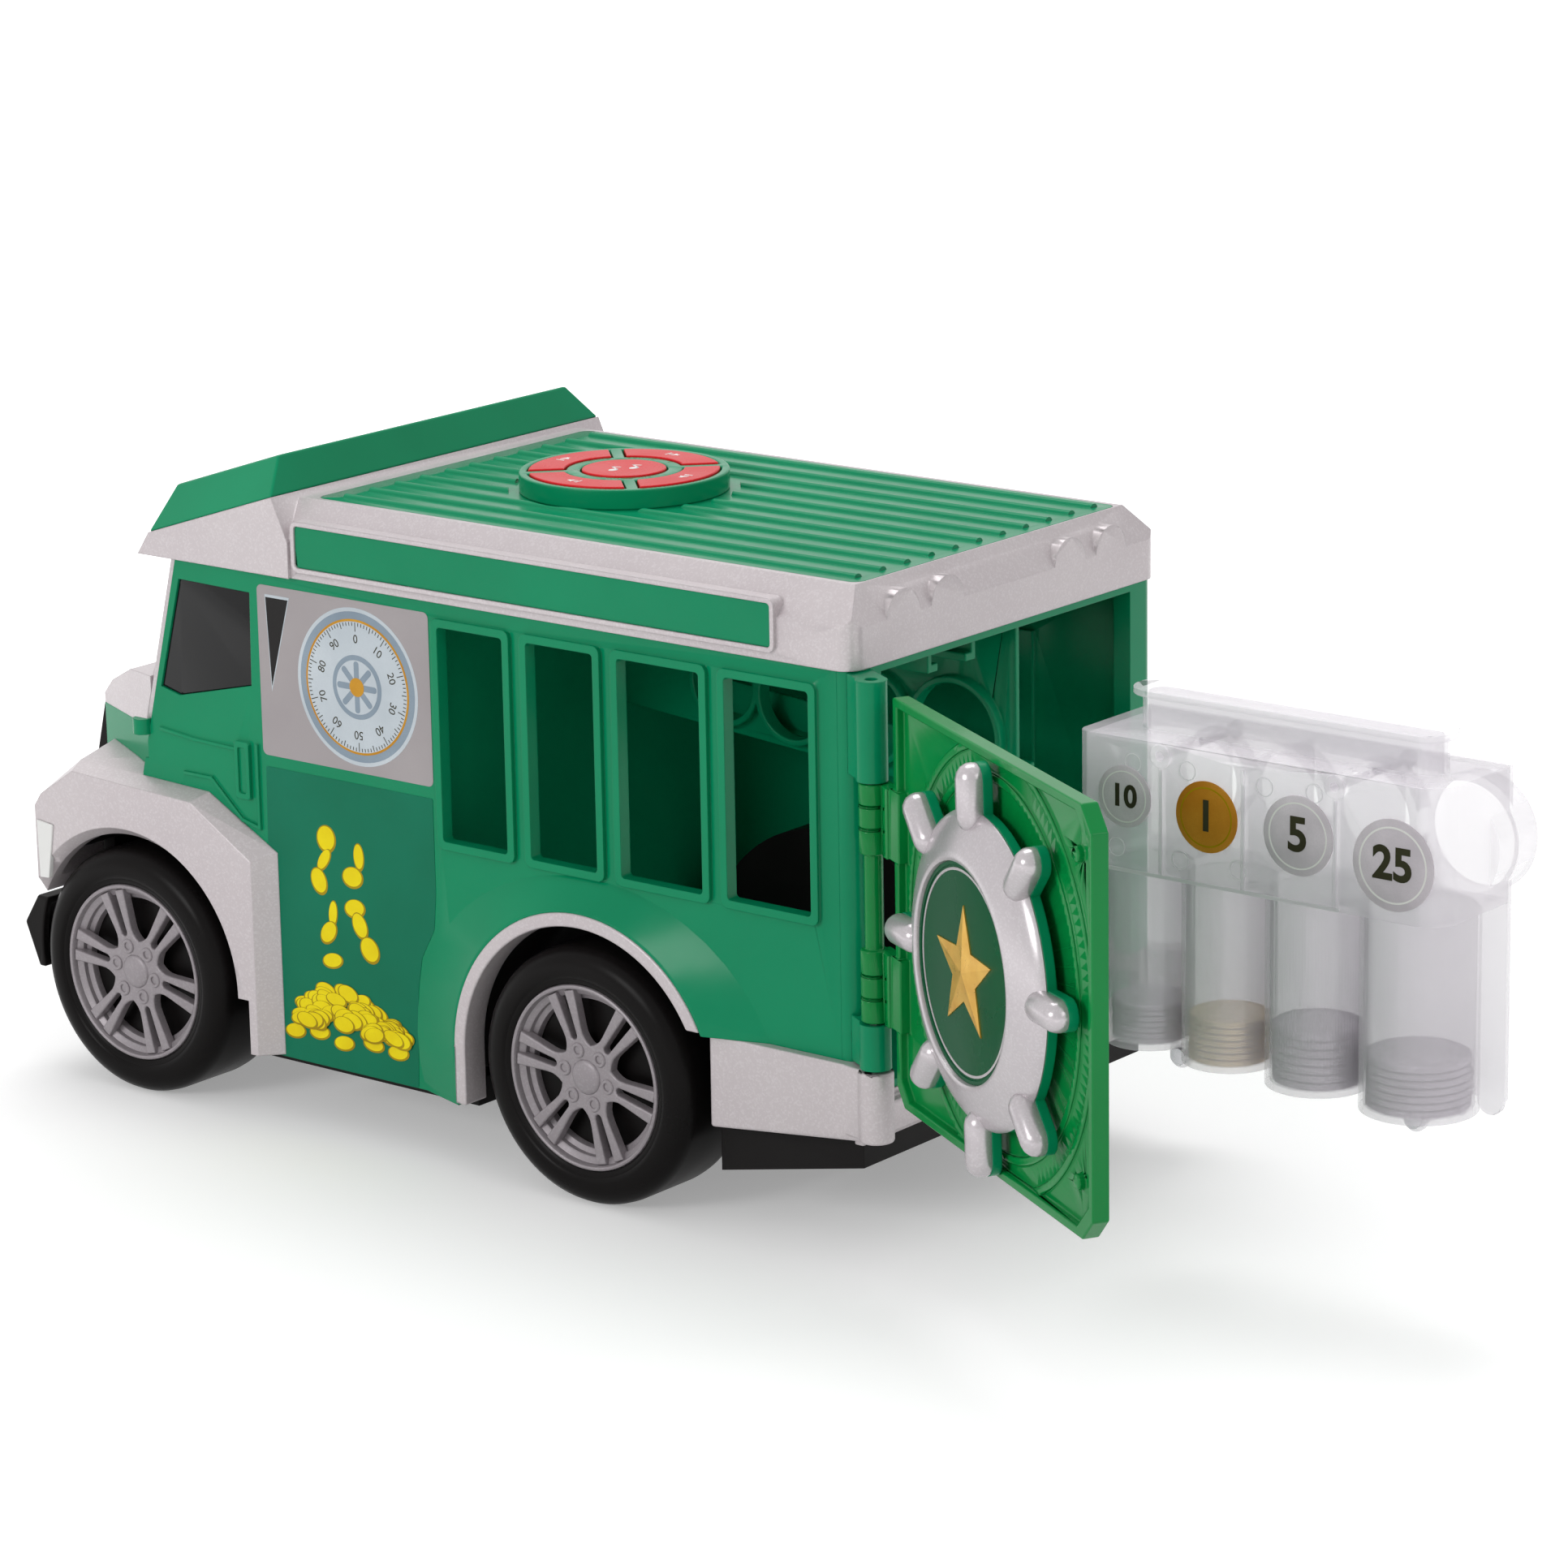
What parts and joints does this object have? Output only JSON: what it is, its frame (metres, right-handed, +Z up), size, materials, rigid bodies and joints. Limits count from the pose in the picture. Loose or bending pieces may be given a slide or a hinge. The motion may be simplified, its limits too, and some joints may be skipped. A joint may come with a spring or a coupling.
{
  "type": "wheeled coin bank",
  "caption": "Toy armoured truck coin bank on free-rolling wheels, with a hinged rear door, a turning handwheel, roof buttons and a pull-out clear coin-sorting cartridge.",
  "frame": {"origin": "on the ground plane, midway between the two axles and on the truck's centre plane", "axes": "+Z up, -X towards the front of the truck, +X towards its rear door; the door's hinge and the open windows are on the -Y side, the coin slot on the +Y side"},
  "size_m": [0.4202, 0.1875, 0.1737],
  "materials": {
    "green_plastic": "glossy moulded green",
    "silver_plastic": "pale silver-grey moulding, satin to glossy",
    "black_plastic": "matt black",
    "tinted_window": "glossy black",
    "red_button": "glossy red",
    "door_plastic": "bright slightly see-through green",
    "clear_plastic": "clear, faintly milky",
    "tyre_rubber": "satin black tyre",
    "steel": "bright steel",
    "coin_silver": "worn nickel colour",
    "coin_copper": "pale gold",
    "board_green": "printed circuit board",
    "speaker_black": "speaker",
    "cell_wrap": "battery wrap",
    "lamp_white": "white lamp panel"
  },
  "bodies": {
    "truck": {"chassis": "black_plastic", "battery_cover": "black_plastic", "batteries": "cell_wrap", "base_screws": "steel", "circuit_board": "board_green", "speaker": "speaker_black", "body_left": "green_plastic", "body_right": "green_plastic", "cab_front": "green_plastic", "bulkhead": "green_plastic", "cargo_floor": "green_plastic", "rear_frame": "green_plastic", "roof_trim": "silver_plastic", "roof_panel": "green_plastic", "spoiler": "green_plastic", "sign_left": "green_plastic", "sign_right": "green_plastic", "button_housing": "green_plastic", "hood": "silver_plastic", "grille": "black_plastic", "windshield_frame": "silver_plastic", "windshield": "tinted_window", "side_window_left": "tinted_window", "side_window_right": "tinted_window", "headlights": "lamp_white", "front_bumper": "black_plastic", "fender_left": "silver_plastic", "fender_right": "silver_plastic", "arch_trim_left": "silver_plastic", "arch_trim_right": "silver_plastic", "rear_bumper": "silver_plastic", "hinge_pin": "steel", "coin_ramp": "green_plastic", "sorter_rail": "green_plastic"},
    "front_wheels": {"front_axle": "steel", "tyre_front_left": "tyre_rubber", "tyre_front_right": "tyre_rubber", "cap_front_left": "silver_plastic", "cap_front_right": "silver_plastic"},
    "rear_wheels": {"rear_axle": "steel", "tyre_rear_left": "tyre_rubber", "tyre_rear_right": "tyre_rubber", "cap_rear_left": "silver_plastic", "cap_rear_right": "silver_plastic"},
    "door": {"rear_door": "door_plastic"},
    "handwheel": {"handwheel": "silver_plastic", "handwheel_disc": "green_plastic", "handwheel_screw": "steel"},
    "cartridge": {"sorter_shell": "clear_plastic", "coin_tube_ten": "clear_plastic", "coin_tube_one": "clear_plastic", "coin_tube_five": "clear_plastic", "coin_tube_quarter": "clear_plastic", "sorter_back": "clear_plastic", "sorter_screws": "steel", "coins_ten": "coin_silver", "coins_one": "coin_copper", "coins_five": "coin_silver", "coins_quarter": "coin_silver"},
    "button_front": {"button_front": "red_button"},
    "button_rear": {"button_rear": "red_button"},
    "button_left": {"button_left": "red_button"},
    "button_right": {"button_right": "red_button"},
    "button_centre": {"button_centre": "red_button"}
  },
  "joints": [
    {"name": "front_wheels_spin", "type": "hinge", "parent": "truck", "child": "front_wheels", "pos_m": [-0.077, 0, 0.0327], "axis": [0, 1, 0], "continuous": true},
    {"name": "rear_wheels_spin", "type": "hinge", "parent": "truck", "child": "rear_wheels", "pos_m": [0.077, 0, 0.0327], "axis": [0, 1, 0], "continuous": true},
    {"name": "door_hinge", "type": "hinge", "parent": "truck", "child": "door", "pos_m": [0.1648, -0.06185, 0.093], "axis": [0, 0, -1], "range_deg": [-38, 28]},
    {"name": "handwheel_turn", "type": "hinge", "parent": "door", "child": "handwheel", "pos_m": [0.22139, -0.09243, 0.0923], "axis": [-0.4985, -0.8669, 0], "continuous": true},
    {"name": "cartridge_slide", "type": "slide", "parent": "truck", "child": "cartridge", "axis": [1, 0, 0], "range_m": [-0.151, 0]},
    {"name": "button_front_press", "type": "slide", "parent": "truck", "child": "button_front", "axis": [0, 0, 1], "range_m": [-0.0012, 0], "stiffness_N_per_m": 300},
    {"name": "button_rear_press", "type": "slide", "parent": "truck", "child": "button_rear", "axis": [0, 0, 1], "range_m": [-0.0012, 0], "stiffness_N_per_m": 300},
    {"name": "button_left_press", "type": "slide", "parent": "truck", "child": "button_left", "axis": [0, 0, 1], "range_m": [-0.0012, 0], "stiffness_N_per_m": 300},
    {"name": "button_right_press", "type": "slide", "parent": "truck", "child": "button_right", "axis": [0, 0, 1], "range_m": [-0.0012, 0], "stiffness_N_per_m": 300},
    {"name": "button_centre_press", "type": "slide", "parent": "truck", "child": "button_centre", "axis": [0, 0, 1], "range_m": [-0.0012, 0], "stiffness_N_per_m": 300}
  ]
}
